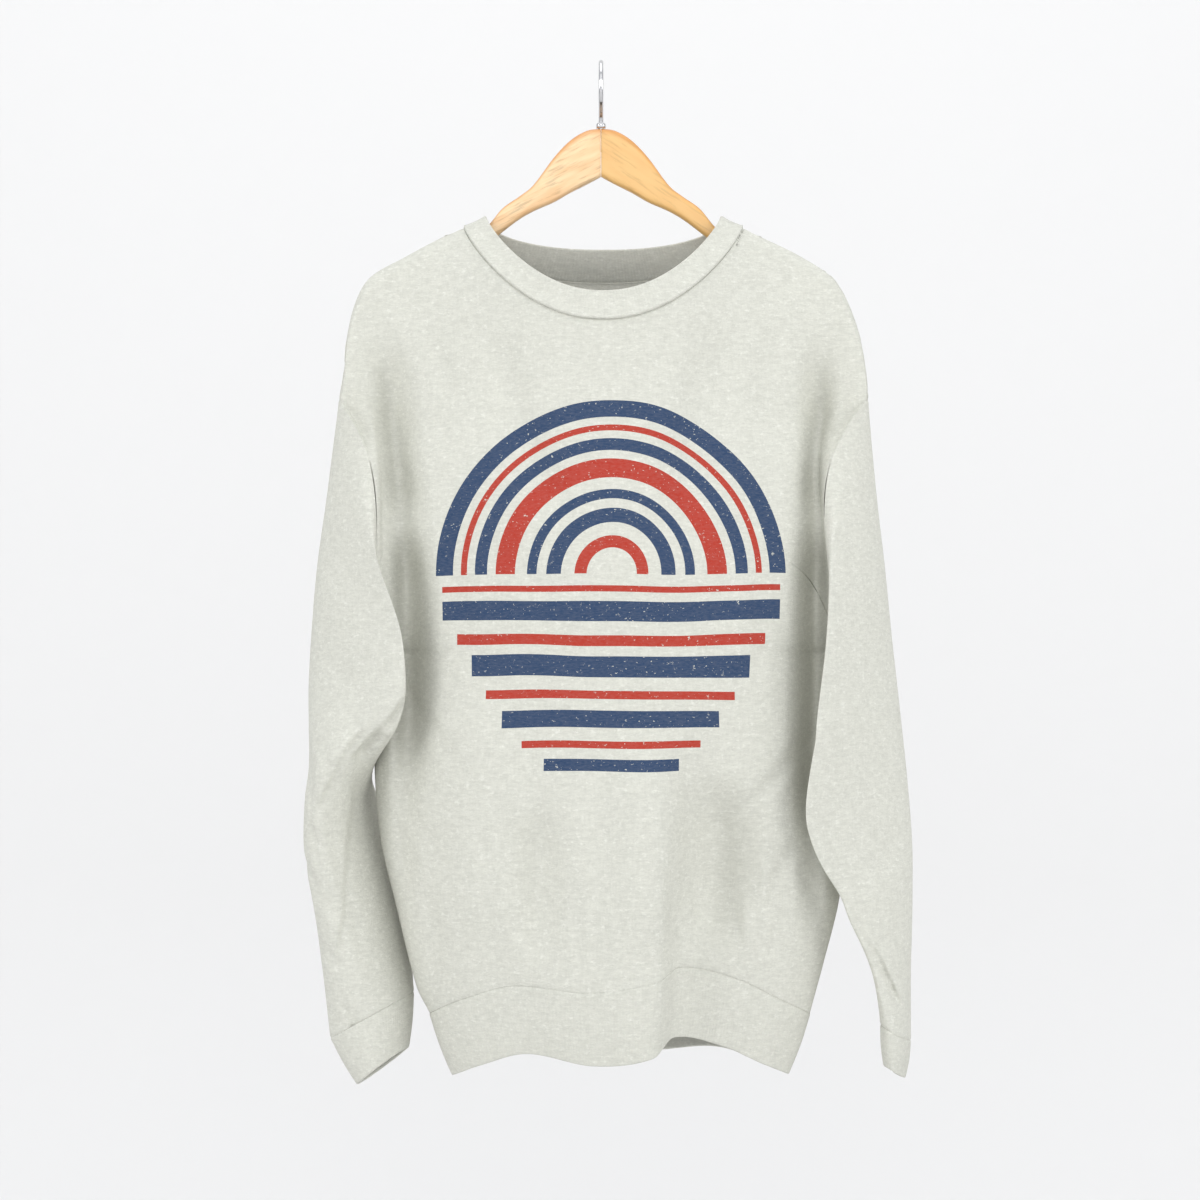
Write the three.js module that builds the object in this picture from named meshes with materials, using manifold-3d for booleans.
// A crewneck sweatshirt on a wooden hanger, in millimetres.
// +X is the viewer's right, -Y the front and +Z up. The origin is the top of the hook's throat, where it
// hangs. Outlines of the cloth are written as seen from EYE, and inSight() sets each point at its depth.
import * as THREE from "three";
import Module from "manifold-3d";

// Sizes of the cloth
const PANEL_WALL = 2;
const RIB_WALL = 2.6;
const SEAM_GAP = 0.3;
const RIDGE_RADIUS = 10;
const SHOULDER_DROP = 340;
const FRONT_DEPTH = 88;
const BACK_DEPTH = 74;

// The viewer stands in front, level with the middle of the sweatshirt
const EYE = { distance: 3200, z: -455 };

// How finely the cloth is divided
const PANEL_COLUMNS = 28;
const RIDGE_COLUMNS = 7;
const ARMHOLE_ROWS = 12;
const SIDE_ROWS = 11;
const SLEEVE_COLUMNS = 24;
const SLEEVE_ROWS = 18;
const RIB_ROWS = 3;

// How far each border's own depth is carried into a panel, as a share of its width or length
const SIDE_REACH = 0.3;
const NECK_REACH = 0.4;
const NECK_SOFTENING = 0.035;
// How evenly the neck's columns are spread from side to side: 0 follows a half circle and 1 a straight line
const NECK_EVENNESS = 0.25;
const HEM_REACH = 0.5;

// Sizes of the hanger
const ARM_THICKNESS = 12;
const ARM_ROUND = 5;
const ARM_STATIONS = 20;
const ARM_CORNERS = 16;
const JOINT_GAP = 0.3;
const WIRE_RADIUS = 2;
const THROAT_RADIUS = 18.5;
const BORE_RADIUS = 2.4;
const BORE_DEPTH = 22;
const FERRULE = { inner: 2.4, outer: 4, height: 4.5 };

// A short table: its columns' names, then a row for each section or fold
const table = (columns, ...rows) => rows.map((row) => Object.fromEntries(columns.map((name, i) => [name, row[i]])));

// Shoulder ridges from the drop point up to the neck seam
const RIDGES = {
  left: table(
    ["x", "z"],
    [-222.7, -285],
    [-218.5, -262],
    [-216, -232],
    [-208, -200],
    [-195.5, -180],
    [-164, -162],
    [-133.5, -146],
    [-116.5, -139],
  ),
  right: table(
    ["x", "z"],
    [227, -285],
    [225.5, -262],
    [220, -232],
    [208.5, -200],
    [195.5, -180],
    [168, -162],
    [135, -146],
    [120.5, -139],
  ),
};

// The neck: half width, height of its ends, drop and reach of each half's edge and seam
const NECK = {
  middle: 2,
  edge: { half: 100, z: -131, front: { drop: 61, reach: 50 }, back: { drop: 27, reach: 40 } },
  seam: { half: 118.5, z: -139, front: { drop: 76, reach: 57 }, back: { drop: 46, reach: 47 } },
};

// Armholes: the drop point, the middles of the front and back curves, the armpit, and how full the curves are
const ARMHOLES = {
  left: { top: [-222.7, 0, -285], front: [-191, -50], pit: [-184, 3, -498], back: [-193, 50], cap: 4.8 },
  right: { top: [227, 0, -285], front: [190, -50], pit: [200, 3, -498], back: [197, 50], cap: -4.8 },
};

// Side seams from the armpit to the hem's seam
const SIDES = {
  left: table(["z", "x"], [-498, -184], [-576, -193], [-656, -188], [-709, -176], [-784, -157], [-806, -146]),
  right: table(["z", "x"], [-498, 200], [-576, 206], [-656, 208], [-709, 203], [-762, 190], [-806, 178]),
};

// The hem: at each share of its width, its seam, its edge and how deep it hangs
const HEM = {
  seam: { left: -146, right: 178 },
  edge: { left: -127, right: 160 },
  front: table(
    ["share", "seam", "edge", "depth"],
    [0, -806, -858, 66],
    [0.08, -795, -850, 68],
    [0.22, -783, -840, 72],
    [0.42, -789, -850.5, 86],
    [0.6, -780, -844, 92],
    [0.66, -767, -826, 60],
    [0.8, -776, -833, 56],
    [0.92, -794, -848, 60],
    [1, -806, -857, 62],
  ),
  back: table(
    ["share", "seam", "edge", "depth"],
    [0, -806, -858, 60],
    [0.2, -786, -838, 76],
    [0.4, -782, -832, 62],
    [0.6, -785, -836, 80],
    [0.8, -784, -834, 60],
    [1, -806, -857, 60],
  ),
};

// Sleeves: sections down each one, with the outer and inner heights and four points of the ring
const SLEEVE = ["out", "in", "outerX", "outerY", "frontX", "frontY", "innerX", "innerY", "backX", "backY"];
const SLEEVES = {
  left: table(
    SLEEVE,
    [-285, -498, -222.7, 0, -191, -50, -184, 3, -193, 50],
    [-345, -512, -230, 2, -189, -64, -197, 3, -201, 55],
    [-430, -540, -240, 0, -170, -73, -200, -2, -204, 57],
    [-520, -580, -246, -4, -174, -73, -206, 14, -214, 54],
    [-590, -622, -249, -16, -223, -58, -190, 50, -219, 62],
    [-660, -668, -252, -14, -226, -42, -180, 44, -216, 54],
    [-735, -727, -241, -5, -212, -34, -164, 44, -206, 50],
    [-827, -788, -230, 0, -194, -24, -159, 22, -194, 32],
  ),
  right: table(
    SLEEVE,
    [-285, -498, 227, 0, 190, -50, 200, 3, 197, 50],
    [-345, -512, 232, 2, 194, -66, 211, 3, 205, 56],
    [-430, -545, 241, 0, 192, -74, 214, 0, 210, 58],
    [-540, -600, 251, -5, 183, -77, 217, -8, 222, 50],
    [-640, -652, 259, -6, 177, -72, 220, -20, 233, 42],
    [-705, -708, 262, -8, 204, -62, 224, -14, 241, 38],
    [-765, -766, 262.5, -2, 232, -50, 235, 0, 249, 42],
    [-829, -815, 263, 0, 246, -42, 238, 0, 253, 40],
  ),
};

// Cuffs: the ring at each one's open end
const CUFFS = {
  left: table(SLEEVE, [-866, -834, -208, 0, -188, -25, -163, 15, -184, 30]),
  right: table(SLEEVE, [-860, -850, 259, 2, 248, -38, 240, 0, 251, 37]),
};

// The largest folds, as lines down the cloth. A positive depth is a trough and a negative one a ridge
const FOLD = ["half", "x0", "z0", "x1", "z1", "width", "depth"];
const FOLDS = table(
  FOLD,
  ["front", -180, -235, -163, -400, 24, 12],
  ["front", -163, -380, -160, -640, 26, 15],
  ["front", 186, -235, 184, -400, 22, 12],
  ["front", 184, -370, 178, -660, 24, 17],
  ["front", 104, -600, 92, -820, 52, 20],
  ["front", -52, -620, -46, -820, 34, 9],
  ["front", 38, -560, 36, -800, 44, -9],
  ["front", -110, -520, -104, -780, 46, -7],
  ["front", -96, -214, -40, -400, 34, 6],
  ["front", 104, -210, 60, -420, 36, 6],
  ["back", -120, -230, -96, -760, 42, 12],
  ["back", 96, -260, 112, -780, 46, 14],
  ["back", -10, -430, 6, -790, 40, 8],
  ["back", -40, -500, -60, -800, 34, -8],
);

// The hanger's outline at stations along each arm, as far from the middle as x says
const ARM = table(
  ["x", "top", "bottom"],
  [0, -54.5, -95.5],
  [12, -56.3, -102],
  [26, -64.5, -109],
  [40, -79, -117],
  [58, -103, -125],
  [70, -112.5, -132],
  [84, -122.5, -142.5],
  [96, -137, -152],
  [106, -145.5, -159],
  [120, -151.5, -166],
  [150, -163.5, -180],
  [178, -177.5, -192],
  [190, -185, -196],
);

// A table's column at a place between its rows, on a smooth curve through them
function reads(rows, by, at, column) {
  const rising = rows[rows.length - 1][by] > rows[0][by];
  const before = (row) => (rising ? row[by] <= at : row[by] >= at);
  const i = Math.min(Math.max(rows.filter(before).length - 1, 0), rows.length - 2);
  const slope = (k) => {
    const a = rows[Math.max(k - 1, 0)];
    const b = rows[Math.min(k + 1, rows.length - 1)];
    return (b[column] - a[column]) / (b[by] - a[by]);
  };
  const span = rows[i + 1][by] - rows[i][by];
  const s = Math.min(Math.max((at - rows[i][by]) / span, 0), 1);
  const from = (1 + 2 * s) * (1 - s) ** 2 * rows[i][column] + s * (1 - s) ** 2 * span * slope(i);
  return from + s * s * (3 - 2 * s) * rows[i + 1][column] + s * s * (s - 1) * span * slope(i + 1);
}

const mix = (a, b, s) => a + (b - a) * s;
const smooth = (s) => {
  const t = Math.min(Math.max(s, 0), 1);
  return t * t * (3 - 2 * t);
};
// 1 at the middle of a strip and 0 beyond its width
const bell = (s) => (Math.abs(s) < 1 ? (1 + Math.cos(Math.PI * s)) / 2 : 0);
// 1 at an edge, fading to 0 over a reach
const fade = (s, reach) => (s < reach ? (1 - s / reach) ** 2 : 0);
// A rounded section: 0 at both ends, 1 in the middle
const dome = (s, power, root) => Math.max(1 - Math.abs(s) ** power, 0) ** (1 / root);

// How far the folds push the cloth inwards at a place
function foldAt(half, x, z) {
  let sum = 0;
  for (const fold of FOLDS.filter((row) => row.half === half)) {
    const s = (z - fold.z0) / (fold.z1 - fold.z0);
    const ends = smooth(s * 4) * smooth((1 - s) * 4);
    sum += fold.depth * ends * bell((x - mix(fold.x0, fold.x1, s)) / fold.width);
  }
  return sum;
}

// A ridge's point at a share of its length, from the drop point to the neck
const ridgeLines = {};
for (const side of ["left", "right"])
  ridgeLines[side] = new THREE.CatmullRomCurve3(RIDGES[side].map((row) => new THREE.Vector3(row.x, 0, row.z)));
const ridgeAt = (side, share) => {
  const p = ridgeLines[side].getPointAt(share);
  return [p.x, 0, p.z];
};

// The height of the shoulders' ridge over any x, level across the neck
function ridgeHeight(x) {
  const rows = [...RIDGES.left, ...[...RIDGES.right].reverse()];
  return reads(rows, "x", Math.min(Math.max(x, RIDGES.left[0].x), RIDGES.right[0].x), "z");
}

// A point of the neck's edge or seam, at a share from its left end to its right end
function neckAt(line, half, share) {
  const across = mix(-Math.cos(Math.PI * share), 2 * share - 1, NECK_EVENNESS);
  const ring = NECK[line];
  const power = half === "front" ? 2.2 : 2.5;
  const root = half === "front" ? 1.18 : 2;
  const sign = half === "front" ? -1 : 1;
  const dip = dome(across, power, root) * (1 - 0.02 * Math.sin(3 * Math.PI * share));
  const reach = ring[half].reach * Math.sqrt(Math.max(1 - across * across, 0));
  return [NECK.middle + ring.half * across, sign * reach, ring.z - ring[half].drop * dip];
}

// A closed ring through its outer, front, inner and back points; turn runs from outer by way of the front
function ringPoint(row, turn, cap = 0) {
  const c = Math.cos(turn);
  const s = Math.sin(turn);
  const c2 = Math.cos(2 * turn);
  const along = (outer, front, inner, back) => {
    const ends = (outer + inner) / 2;
    const middles = (front + back) / 2;
    return (ends + middles) / 2 + ((ends - middles) / 2) * c2 + ((outer - inner) / 2) * c + ((front - back) / 2) * s;
  };
  const x = along(row.outerX, row.frontX, row.innerX, row.backX) + cap * (c - Math.cos(3 * turn));
  const y = along(row.outerY, row.frontY, row.innerY, row.backY);
  return [x, y, mix(row.out, row.in, (1 - c) / 2)];
}

function armholeAt(side, turn) {
  const hole = ARMHOLES[side];
  const row = {
    out: hole.top[2],
    in: hole.pit[2],
    outerX: hole.top[0],
    outerY: hole.top[1],
    frontX: hole.front[0],
    frontY: hole.front[1],
    innerX: hole.pit[0],
    innerY: hole.pit[1],
    backX: hole.back[0],
    backY: hole.back[1],
  };
  return ringPoint(row, turn, hole.cap);
}

// A point of the hem's seam or edge, at a share from left to right
function hemAt(line, half, share) {
  const across = (2 * share - 1 - Math.cos(Math.PI * share)) / 2;
  const place = (1 + across) / 2;
  const sign = half === "front" ? -1 : 1;
  const drawn = line === "seam" ? 1 : 0.95;
  const depth = reads(HEM[half], "share", place, "depth") * drawn * dome(across, 2.4, 2.2);
  return [mix(HEM[line].left, HEM[line].right, place), sign * depth, reads(HEM[half], "share", place, line)];
}

// The top line of a panel: up one ridge, round the neck's seam and down the other ridge
function panelTop(half, share) {
  const part = RIDGE_COLUMNS / PANEL_COLUMNS;
  if (share <= part) return ridgeAt("left", share / part);
  if (share >= 1 - part) return ridgeAt("right", (1 - share) / part);
  return neckAt("seam", half, (share - part) / (1 - 2 * part));
}

// The side line of a panel: down the armhole and then the side seam, for rows counted from the top
function panelSide(side, half, row) {
  if (row <= ARMHOLE_ROWS) {
    const turn = (Math.PI * row) / ARMHOLE_ROWS;
    return armholeAt(side, half === "front" ? turn : 2 * Math.PI - turn);
  }
  const rows = SIDES[side];
  const pit = ARMHOLES[side].pit;
  const below = (row - ARMHOLE_ROWS) / SIDE_ROWS;
  const z = mix(pit[2], rows[rows.length - 1].z, below);
  return [reads(rows, "z", z, "x"), pit[1] * (1 - smooth(below * 3)), z];
}

// How deep a panel's side line lies at a height
function sideDepth(side, half, z) {
  const start = ARMHOLES[side].top[2];
  const pit = ARMHOLES[side].pit;
  const fall = (start - z) / (start - pit[2]);
  if (fall <= 0) return 0;
  const sign = half === "front" ? -1 : 1;
  if (fall >= 1) return sign * pit[1] * (1 - smooth((3 * (pit[2] - z)) / (pit[2] - SIDES[side].at(-1).z)));
  const turn = Math.acos(1 - 2 * fall);
  return sign * armholeAt(side, half === "front" ? turn : 2 * Math.PI - turn)[1];
}

// One point of the front or back, between its four border lines, rounded out to its depth
function panelPoint(half, column, row) {
  const u = column / PANEL_COLUMNS;
  const last = ARMHOLE_ROWS + SIDE_ROWS;
  const left = panelSide("left", half, row);
  const right = panelSide("right", half, row);
  const ends = [panelSide("left", half, 0), panelSide("left", half, last)];
  const far = [panelSide("right", half, 0), panelSide("right", half, last)];
  const v = (ends[0][2] - left[2]) / (ends[0][2] - ends[1][2]);
  const top = panelTop(half, u);
  const bottom = hemAt("seam", half, u);
  const between = (k) => {
    const corners = mix(mix(ends[0][k], far[0][k], u), mix(ends[1][k], far[1][k], u), v);
    return mix(top[k], bottom[k], v) + mix(left[k], right[k], u) - corners;
  };
  const x = between(0);
  const z = between(2);
  const sign = half === "front" ? -1 : 1;
  const across = (2 * (x - left[0])) / (right[0] - left[0]) - 1;
  const full = half === "front" ? FRONT_DEPTH : BACK_DEPTH;
  const round = smooth((v - 0.3) / 0.7);
  const shape = full * dome(across, mix(2, 2.4, round), mix(1.2, 2.1, round));
  const depthUnder = (below, edgeDepth) => {
    const hang = Math.sin((Math.PI / 2) * Math.min(Math.max(below / SHOULDER_DROP, 0), 1)) ** 1.3;
    const past = 1 - Math.min(Math.max(below / RIDGE_RADIUS, 0), 1);
    return RIDGE_RADIUS * Math.sqrt(1 - past ** 2) * (1 - hang) + edgeDepth * hang;
  };
  const below = ridgeHeight(x) - z;
  let depth = depthUnder(below, shape);
  // The borders' own depths, carried in from each side
  const rim = v > 0 ? depthUnder(below, 0) : 0;
  const start = ARMHOLES.left.top[2];
  const settled = smooth((4 * (start - z)) / (start - ARMHOLES.left.pit[2]));
  depth += (sideDepth("left", half, z) - rim) * fade(u, SIDE_REACH) * settled;
  depth += (sideDepth("right", half, z) - rim) * fade(1 - u, SIDE_REACH) * settled;
  // The neck's reach is carried down, and softened sideways as it goes
  for (const step of [-2, -1, 0, 1, 2]) {
    const at = panelTop(half, Math.min(Math.max(u + step * NECK_SOFTENING * smooth((v - 0.04) * 6), 0), 1));
    const atAcross = (2 * (at[0] - ends[0][0])) / (far[0][0] - ends[0][0]) - 1;
    const atDepth = depthUnder(ridgeHeight(at[0]) - at[2], full * dome(atAcross, 2, 1.2));
    depth += ((sign * at[1] - atDepth) * fade(v, NECK_REACH)) / 5;
  }
  const bottomDepth = full * dome(across, 2.4, 2.1);
  depth += (sign * bottom[1] - bottomDepth) * fade(1 - v, HEM_REACH);
  const inside = smooth(u * 8) * smooth((1 - u) * 8) * smooth(v * 9) * smooth((1 - v) * 7);
  depth -= foldAt(half, x, z) * inside;
  if (column === 0) return left;
  if (column === PANEL_COLUMNS) return right;
  if (row === 0) return top;
  if (row === last) return bottom;
  return [x, sign * depth, z];
}

// The section table of a sleeve, read at a share of its length
function sleeveRow(side, share) {
  const rows = SLEEVES[side].map((row, k) => ({ ...row, share: k / (SLEEVES[side].length - 1) }));
  return Object.fromEntries(SLEEVE.map((column) => [column, reads(rows, "share", share, column)]));
}

// Soft creases across a sleeve: at a share of its length, turn, width and depth
const CREASES = {
  left: table(
    ["share", "turn", "length", "spread", "depth"],
    [0.3, 1.0, 0.07, 1.1, 4],
    [0.5, 1.5, 0.05, 1.0, 7],
    [0.6, 0.5, 0.06, 0.8, 5],
    [0.66, 4.6, 0.06, 1.0, 5],
    [0.82, 1.2, 0.05, 0.9, 4],
  ),
  right: table(
    ["share", "turn", "length", "spread", "depth"],
    [0.32, 5.2, 0.07, 1.1, 4],
    [0.52, 4.9, 0.06, 1.0, 5],
    [0.64, 0.6, 0.06, 0.8, 4],
    [0.78, 4.8, 0.05, 1.0, 5],
    [0.7, 1.6, 0.06, 1.0, 5],
  ),
};

function sleevePoint(side, column, row) {
  const turn = (2 * Math.PI * column) / SLEEVE_COLUMNS;
  // The right sleeve's ring starts at its outer side too, but goes by way of the back
  const way = side === "left" ? turn : 2 * Math.PI - turn;
  const share = row / SLEEVE_ROWS;
  const hole = armholeAt(side, way);
  if (row === 0) return hole;
  const point = ringPoint(sleeveRow(side, share), way);
  const first = ringPoint(sleeveRow(side, 0), way);
  const settle = fade(share, 0.3);
  const moved = point.map((value, k) => value + (hole[k] - first[k]) * settle);
  let dent = 0;
  for (const crease of CREASES[side]) {
    const off = Math.atan2(Math.sin(way - crease.turn), Math.cos(way - crease.turn));
    dent += crease.depth * bell((share - crease.share) / crease.length) * bell(off / crease.spread);
  }
  const ring = sleeveRow(side, share);
  const middle = [(ring.outerX + ring.innerX) / 2, (ring.frontY + ring.backY) / 2];
  const out = [moved[0] - middle[0], moved[1] - middle[1]];
  const size = Math.hypot(out[0], out[1]);
  const ends = share < 1 ? dent : 0;
  return [moved[0] - (ends * out[0]) / size, moved[1] - (ends * out[1]) / size, moved[2]];
}

// A point seen at x and z, moved along the line of sight to its own depth
function inSight([x, y, z]) {
  const scale = 1 + y / EYE.distance;
  return new THREE.Vector3(x * scale, y, EYE.z + (z - EYE.z) * scale);
}

// A grid of points on the outside of the cloth, rows from the top down. Round grids close on themselves
function grid(columns, rows, round, pointAt) {
  const points = [];
  for (let row = 0; row <= rows; row++)
    points.push(Array.from({ length: columns + (round ? 0 : 1) }, (_, column) => inSight(pointAt(column, row))));
  return { points, columns, rows, round };
}

const halfColumns = PANEL_COLUMNS - 2 * RIDGE_COLUMNS;
const panelRows = ARMHOLE_ROWS + SIDE_ROWS;

// The neck's ring runs along the front from left to right and comes back along the back
function collarPoint(column, row) {
  const half = column < halfColumns ? "front" : "back";
  const share = half === "front" ? column / halfColumns : 2 - column / halfColumns;
  const edge = neckAt("edge", half, share);
  const seam = neckAt("seam", half, share);
  const s = row / RIB_ROWS;
  return edge.map((value, k) => mix(value, seam[k], s));
}

function hemPoint(column, row) {
  const half = column < PANEL_COLUMNS ? "front" : "back";
  const share = half === "front" ? column / PANEL_COLUMNS : 2 - column / PANEL_COLUMNS;
  const seam = hemAt("seam", half, share);
  const edge = hemAt("edge", half, share);
  return seam.map((value, k) => mix(value, edge[k], row / RIB_ROWS));
}

function cuffPoint(side, column, row) {
  const turn = (2 * Math.PI * column) / SLEEVE_COLUMNS;
  const way = side === "left" ? turn : 2 * Math.PI - turn;
  const seam = ringPoint(sleeveRow(side, 1), way);
  const edge = ringPoint(CUFFS[side][0], way);
  return seam.map((value, k) => mix(value, edge[k], row / RIB_ROWS));
}

// Every cloth piece; seams says which borders (top, bottom, left, right) are sewn to a neighbour
const PIECES = {
  front_panel: {
    wall: PANEL_WALL,
    seams: ["top", "bottom", "left", "right"],
    ...grid(PANEL_COLUMNS, panelRows, false, (column, row) => panelPoint("front", column, row)),
  },
  back_panel: {
    wall: PANEL_WALL,
    seams: ["top", "bottom", "left", "right"],
    ...grid(PANEL_COLUMNS, panelRows, false, (column, row) => panelPoint("back", PANEL_COLUMNS - column, row)),
  },
  sleeve_left: {
    wall: PANEL_WALL,
    seams: ["top", "bottom"],
    ...grid(SLEEVE_COLUMNS, SLEEVE_ROWS, true, (column, row) => sleevePoint("left", column, row)),
  },
  sleeve_right: {
    wall: PANEL_WALL,
    seams: ["top", "bottom"],
    ...grid(SLEEVE_COLUMNS, SLEEVE_ROWS, true, (column, row) => sleevePoint("right", column, row)),
  },
  neck_collar: { wall: RIB_WALL, seams: ["bottom"], ...grid(2 * halfColumns, RIB_ROWS, true, collarPoint) },
  hem_band: { wall: RIB_WALL, seams: ["top"], ...grid(2 * PANEL_COLUMNS, RIB_ROWS, true, hemPoint) },
  cuff_left: {
    wall: RIB_WALL,
    seams: ["top"],
    ...grid(SLEEVE_COLUMNS, RIB_ROWS, true, (column, row) => cuffPoint("left", column, row)),
  },
  cuff_right: {
    wall: RIB_WALL,
    seams: ["top"],
    ...grid(SLEEVE_COLUMNS, RIB_ROWS, true, (column, row) => cuffPoint("right", column, row)),
  },
};

// Neighbours share their seam points, so one normal is worked out for each place over all the pieces
const placeOf = (p) => p.toArray().map((value) => Math.round(value * 100)).join();
const normals = new Map();
function addFace(a, b, c) {
  const face = new THREE.Vector3().subVectors(b, a).cross(new THREE.Vector3().subVectors(c, a));
  for (const p of [a, b, c]) normals.set(placeOf(p), (normals.get(placeOf(p)) ?? new THREE.Vector3()).add(face));
}
for (const piece of Object.values(PIECES))
  for (let row = 0; row < piece.rows; row++)
    for (let column = 0; column < piece.columns; column++) {
      const next = piece.round ? (column + 1) % piece.columns : column + 1;
      const [a, b] = [piece.points[row][column], piece.points[row][next]];
      const [c, d] = [piece.points[row + 1][column], piece.points[row + 1][next]];
      addFace(a, c, b);
      addFace(b, c, d);
    }
// Where four pieces meet under each arm, the cloth's outside faces out and down
normals.set(placeOf(inSight(ARMHOLES.left.pit)), new THREE.Vector3(-1, 0, -1));
normals.set(placeOf(inSight(ARMHOLES.right.pit)), new THREE.Vector3(1, 0, -1));
for (const normal of normals.values()) normal.normalize();

// The way into a piece from its sewn border at a grid point, so that half the seam's gap can be left
function wayIn(piece, column, row) {
  const { points, columns, rows, round, seams } = piece;
  const here = points[row][column];
  const at = (c, r) => points[Math.min(Math.max(r, 0), rows)][round ? (c + columns) % columns : Math.min(Math.max(c, 0), columns)];
  const borders = {
    top: row === 0,
    bottom: row === rows,
    left: !round && column === 0,
    right: !round && column === columns,
  };
  const inward = { top: at(column, row + 1), bottom: at(column, row - 1), left: at(column + 1, row), right: at(column - 1, row) };
  const ways = [];
  for (const name of seams.filter((seam) => borders[seam])) {
    const level = name === "top" || name === "bottom";
    const ends = level ? [at(column - 1, row), at(column + 1, row)] : [at(column, row - 1), at(column, row + 1)];
    const line = ends[1].clone().sub(ends[0]).normalize();
    const way = inward[name].clone().sub(here);
    ways.push(way.addScaledVector(line, -way.dot(line)).normalize());
  }
  if (ways.length === 2) {
    const share = Math.max(1 + ways[0].dot(ways[1]), 0.5);
    return ways[0].add(ways[1]).divideScalar(share);
  }
  return ways[0] ?? new THREE.Vector3();
}

// The closed solid of a piece: its outside, its inside one wall further in, and the rims between
function clothGeometry(piece) {
  const { points, columns, rows, round, wall } = piece;
  const across = round ? columns : columns + 1;
  const outer = [];
  const inner = [];
  for (let row = 0; row <= rows; row++)
    for (let column = 0; column < across; column++) {
      const normal = normals.get(placeOf(points[row][column]));
      const out = points[row][column].clone().addScaledVector(wayIn(piece, column, row), SEAM_GAP / 2);
      outer.push(...out.toArray());
      inner.push(...out.addScaledVector(normal, -wall).toArray());
    }
  const count = across * (rows + 1);
  const index = (column, row) => row * across + (round ? column % columns : column);
  const faces = [];
  // A rim's quads are split the same way on both sides of a seam, so that neighbours stay parallel
  const rim = (from, to, outwards) => {
    const [a, b] = [index(...from), index(...to)];
    const key = ([column, row]) => placeOf(points[row][round ? column % columns : column]);
    const split = key(from) < key(to) ? [a + count, a, b + count, b + count, a, b] : [a + count, a, b, a + count, b, b + count];
    for (const k of [0, 3]) faces.push(split[k], ...(outwards ? [split[k + 1], split[k + 2]] : [split[k + 2], split[k + 1]]));
  };
  for (let row = 0; row < rows; row++)
    for (let column = 0; column < columns; column++) {
      const corners = [index(column, row), index(column + 1, row), index(column, row + 1), index(column + 1, row + 1)];
      faces.push(...[0, 2, 1, 1, 2, 3].map((k) => corners[k]));
      faces.push(...[0, 1, 2, 1, 3, 2].map((k) => corners[k] + count));
    }
  for (let column = 0; column < columns; column++) {
    rim([column, 0], [column + 1, 0], true);
    rim([column, rows], [column + 1, rows], false);
  }
  if (!round)
    for (let row = 0; row < rows; row++) {
      rim([0, row], [0, row + 1], false);
      rim([columns, row], [columns, row + 1], true);
    }
  const geometry = new THREE.BufferGeometry();
  geometry.setAttribute("position", new THREE.Float32BufferAttribute([...outer, ...inner], 3));
  geometry.setIndex(faces);
  return geometry;
}

// One arm of the hanger: rounded sections from the middle out, narrowing to a blunt round tip
function armGeometry(side) {
  const sign = side === "left" ? -1 : 1;
  const reach = ARM[ARM.length - 1].x;
  const vertices = [];
  const faces = [];
  for (let station = 0; station <= ARM_STATIONS; station++) {
    const share = Math.sin((Math.PI / 2) * (station / ARM_STATIONS)) * 0.35 + (station / ARM_STATIONS) * 0.65;
    const x = mix(JOINT_GAP / 2, reach, share);
    const top = reads(ARM, "x", x, "top");
    const bottom = reads(ARM, "x", x, "bottom");
    const tip = Math.sqrt(1 - Math.max((x - reach + ARM_ROUND) / ARM_ROUND, 0) ** 2 * 0.75);
    const high = ((top - bottom) / 2) * tip;
    const thick = (ARM_THICKNESS / 2) * tip;
    for (let k = 0; k < ARM_CORNERS; k++) {
      const turn = (2 * Math.PI * k) / ARM_CORNERS;
      const corner = ARM_ROUND * tip;
      const y = Math.cos(turn) * corner + Math.sign(Math.round(Math.cos(turn) * 100)) * (thick - corner);
      const z = Math.sin(turn) * corner + Math.sign(Math.round(Math.sin(turn) * 100)) * (high - corner);
      vertices.push(sign * x, y, (top + bottom) / 2 + z);
    }
  }
  const put = (a, b, c) => (side === "left" ? faces.push(a, c, b) : faces.push(a, b, c));
  for (let station = 0; station < ARM_STATIONS; station++)
    for (let k = 0; k < ARM_CORNERS; k++) {
      const [a, b] = [station * ARM_CORNERS + k, station * ARM_CORNERS + ((k + 1) % ARM_CORNERS)];
      put(a, b, a + ARM_CORNERS);
      put(b, b + ARM_CORNERS, a + ARM_CORNERS);
    }
  const end = ARM_STATIONS * ARM_CORNERS;
  for (let k = 1; k < ARM_CORNERS - 1; k++) {
    put(0, k + 1, k);
    put(end, end + k, end + k + 1);
  }
  const geometry = new THREE.BufferGeometry();
  geometry.setAttribute("position", new THREE.Float32BufferAttribute(vertices, 3));
  geometry.setIndex(faces);
  return geometry;
}

// A round bar on an upright axis at the hanger's middle
function uprightBar(radius, bottom, top) {
  const geometry = new THREE.CylinderGeometry(radius, radius, top - bottom, 20);
  return geometry.rotateX(Math.PI / 2).translate(0, 0, (top + bottom) / 2);
}

const wasm = await Module();
wasm.setup();

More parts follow.
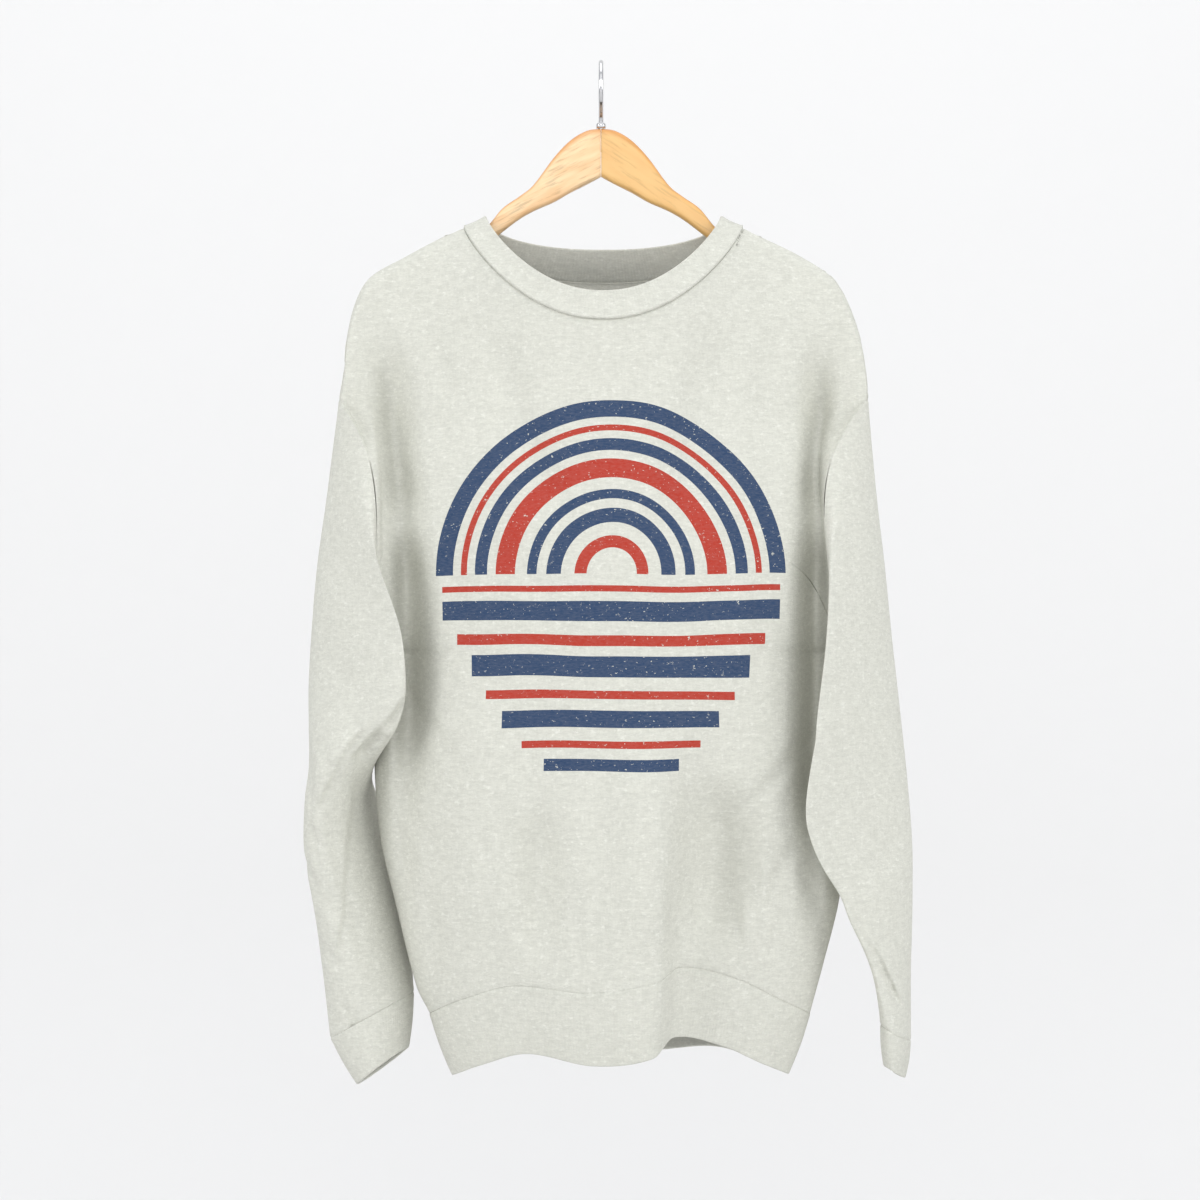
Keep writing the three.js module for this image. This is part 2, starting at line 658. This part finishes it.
// Cuts one closed geometry out of another
function cut(geometry, tool) {
  const solid = (source) => {
    const flat = source.index ? source.toNonIndexed() : source;
    const merged = new Map();
    const vertices = [];
    const corners = [];
    const position = flat.getAttribute("position");
    for (let i = 0; i < position.count; i++) {
      const p = new THREE.Vector3().fromBufferAttribute(position, i);
      const key = p.toArray().map((value) => Math.round(value * 10000)).join();
      if (!merged.has(key)) {
        merged.set(key, vertices.length / 3);
        vertices.push(...p.toArray());
      }
      corners.push(merged.get(key));
    }
    const used = [];
    for (let i = 0; i < corners.length; i += 3) {
      const [a, b, c] = corners.slice(i, i + 3);
      if (a !== b && b !== c && c !== a) used.push(a, b, c);
    }
    const mesh = new wasm.Mesh({
      numProp: 3,
      vertProperties: new Float32Array(vertices),
      triVerts: new Uint32Array(used),
    });
    return new wasm.Manifold(mesh);
  };
  const result = solid(geometry).subtract(solid(tool)).getMesh();
  const made = new THREE.BufferGeometry();
  made.setAttribute("position", new THREE.BufferAttribute(result.vertProperties, 3));
  made.setIndex(new THREE.BufferAttribute(result.triVerts, 1));
  return made;
}

// The hook: up from its bore, forward round the throat, over the top and down behind to an open end
function hookGeometry() {
  const radius = THROAT_RADIUS + WIRE_RADIUS;
  const middle = -THROAT_RADIUS;
  const foot = ARM[0].top - BORE_DEPTH + 2;
  const stem = table(["y", "z"], [0, foot], [0, -70], [0, -62], [0, -55], [0, -49.5], [-1.8, -45], [-6.5, -40.2]);
  const points = stem.map((row) => new THREE.Vector3(0, row.y, row.z));
  for (let degrees = 226; degrees >= -30; degrees -= 16) {
    const turn = THREE.MathUtils.degToRad(degrees);
    points.push(new THREE.Vector3(0, radius * Math.cos(turn), middle + radius * Math.sin(turn)));
  }
  const wire = new THREE.Shape().absarc(0, 0, WIRE_RADIUS, 0, 2 * Math.PI);
  const path = new THREE.CatmullRomCurve3(points);
  return new THREE.ExtrudeGeometry(wire, { steps: 48, curveSegments: 6, extrudePath: path, bevelEnabled: false });
}

function ferruleGeometry() {
  const { inner, outer, height } = FERRULE;
  const ring = [
    new THREE.Vector2(inner, 0),
    new THREE.Vector2(outer, 0),
    new THREE.Vector2(outer, height - 1),
    new THREE.Vector2(outer - 0.8, height),
    new THREE.Vector2(inner, height),
    new THREE.Vector2(inner, 0),
  ];
  return new THREE.LatheGeometry(ring, 24).rotateX(Math.PI / 2);
}

// Materials
const fleece = new THREE.MeshStandardMaterial({ color: 0xe2e2d8, roughness: 0.95, metalness: 0 });
const rib = new THREE.MeshStandardMaterial({ color: 0xe4e4db, roughness: 0.95, metalness: 0 });
const paleWood = new THREE.MeshStandardMaterial({ color: 0xf0d0a6, roughness: 0.4, metalness: 0 });
const goldenWood = new THREE.MeshStandardMaterial({ color: 0xe2b878, roughness: 0.4, metalness: 0 });
const chrome = new THREE.MeshStandardMaterial({ color: 0xd8d8d8, roughness: 0.15, metalness: 1 });

const sweatshirt = new THREE.Group();
const cloth = new THREE.Group();
const hanger = new THREE.Group();

function addMesh(group, name, geometry, material) {
  const mesh = new THREE.Mesh(geometry, material);
  mesh.name = name;
  group.add(mesh);
  return mesh;
}

for (const [name, piece] of Object.entries(PIECES))
  addMesh(cloth, name, clothGeometry(piece), piece.wall === RIB_WALL ? rib : fleece);

const bore = uprightBar(BORE_RADIUS, ARM[0].top - BORE_DEPTH, ARM[0].top + 10);
addMesh(hanger, "hanger_arm_left", cut(armGeometry("left"), bore), paleWood);
addMesh(hanger, "hanger_arm_right", cut(armGeometry("right"), bore), goldenWood);
addMesh(hanger, "hanger_hook", hookGeometry(), chrome);
addMesh(hanger, "hook_ferrule", ferruleGeometry(), chrome).position.z = ARM[0].top + JOINT_GAP;

sweatshirt.add(cloth, hanger);

export default sweatshirt;
